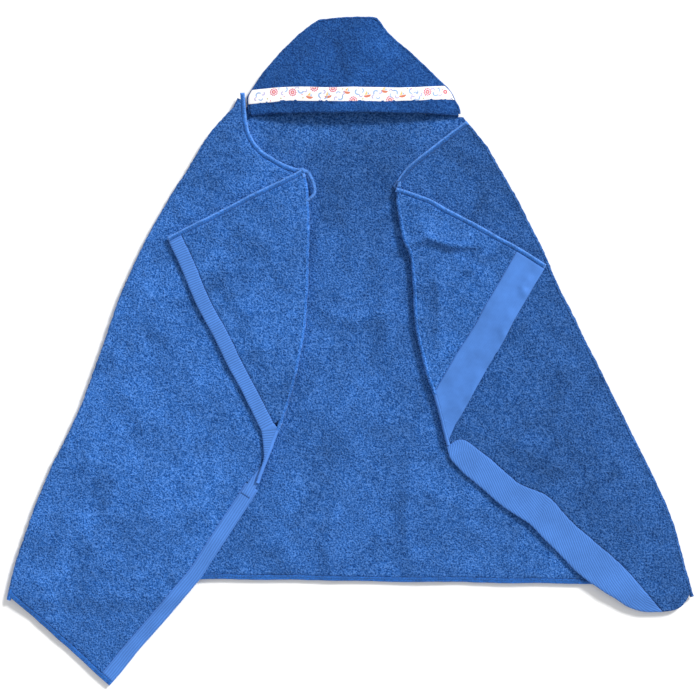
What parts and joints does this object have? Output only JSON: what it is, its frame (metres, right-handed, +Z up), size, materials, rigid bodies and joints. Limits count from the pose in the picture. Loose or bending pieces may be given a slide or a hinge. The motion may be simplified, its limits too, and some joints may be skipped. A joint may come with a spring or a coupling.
{
  "type": "hooded baby towel",
  "caption": "Terry bath towel with a sewn-on hood, its sides folded in over the back panel and the upper corners turned back, lying flat.",
  "frame": {"origin": "on the surface it lies on, under the middle of the laid towel", "axes": "+Z up out of the surface, +X across the towel, +Y towards the hood"},
  "size_m": [0.98, 0.9577, 0.0241],
  "materials": {
    "terry": "looped cotton terry, matt",
    "hood_terry": "looped cotton terry, matt, a little darker",
    "hem": "rolled cotton hem, matt",
    "woven_band": "flat-woven cotton band, slight sheen",
    "ribbon": "printed grosgrain ribbon",
    "blue_thread": "polyester thread",
    "white_thread": "polyester thread"
  },
  "bodies": {
    "back": {"back_panel": "terry", "back_bottom_hem": "hem", "back_hem_stitch": "blue_thread"},
    "left_side": {"left_wing": "terry", "left_wing_top_hem": "hem", "left_wing_top_stitch": "blue_thread", "left_wing_bottom_hem": "hem", "left_wing_bottom_stitch": "blue_thread", "left_wing_end_band": "woven_band"},
    "left_corner": {"left_flap": "terry", "left_flap_top_hem": "hem", "left_flap_hem_stitch": "blue_thread", "left_flap_end_band": "woven_band"},
    "right_side": {"right_wing": "terry", "right_wing_top_hem": "hem", "right_wing_top_stitch": "blue_thread", "right_wing_end_band": "woven_band"},
    "right_corner": {"right_flap": "terry", "right_flap_top_hem": "hem", "right_flap_hem_stitch": "blue_thread", "right_flap_end_band": "woven_band"},
    "hood": {"neck_yoke": "terry", "neck_seam_stitch": "blue_thread", "hood_lower": "hood_terry", "hood_upper": "hood_terry", "crown_seam_stitch": "blue_thread", "hood_brim_hem": "hood_terry", "brim_hem_stitch": "blue_thread", "ribbon_trim": "ribbon", "ribbon_stitch_front": "white_thread", "ribbon_stitch_back": "white_thread"}
  },
  "joints": [
    {"name": "left_side_fold", "type": "hinge", "parent": "back", "child": "left_side", "pos_m": [-0.2948, 0.1807, 0.00475], "axis": [-0.3657, -0.9307, 0], "range_deg": [0, 180]},
    {"name": "left_corner_fold", "type": "hinge", "parent": "left_side", "child": "left_corner", "pos_m": [-0.0354, 0.213, 0.01075], "axis": [0.1474, 0.9891, 0], "range_deg": [0, 180]},
    {"name": "right_side_fold", "type": "hinge", "parent": "back", "child": "right_side", "pos_m": [0.2759, 0.1537, 0.00475], "axis": [-0.435, 0.9004, 0], "range_deg": [0, 180]},
    {"name": "right_corner_fold", "type": "hinge", "parent": "right_side", "child": "right_corner", "pos_m": [0.0497, 0.2328, 0.01075], "axis": [0.2011, -0.9796, 0], "range_deg": [0, 180]},
    {"name": "hood_lift", "type": "hinge", "parent": "back", "child": "hood", "pos_m": [0, 0.3365, 0.00365], "axis": [1, 0, 0], "range_deg": [0, 90]}
  ],
  "couplings": [
    {"joint": "left_corner_fold", "follows": "left_side_fold", "ratio": 1},
    {"joint": "right_corner_fold", "follows": "right_side_fold", "ratio": 1}
  ]
}
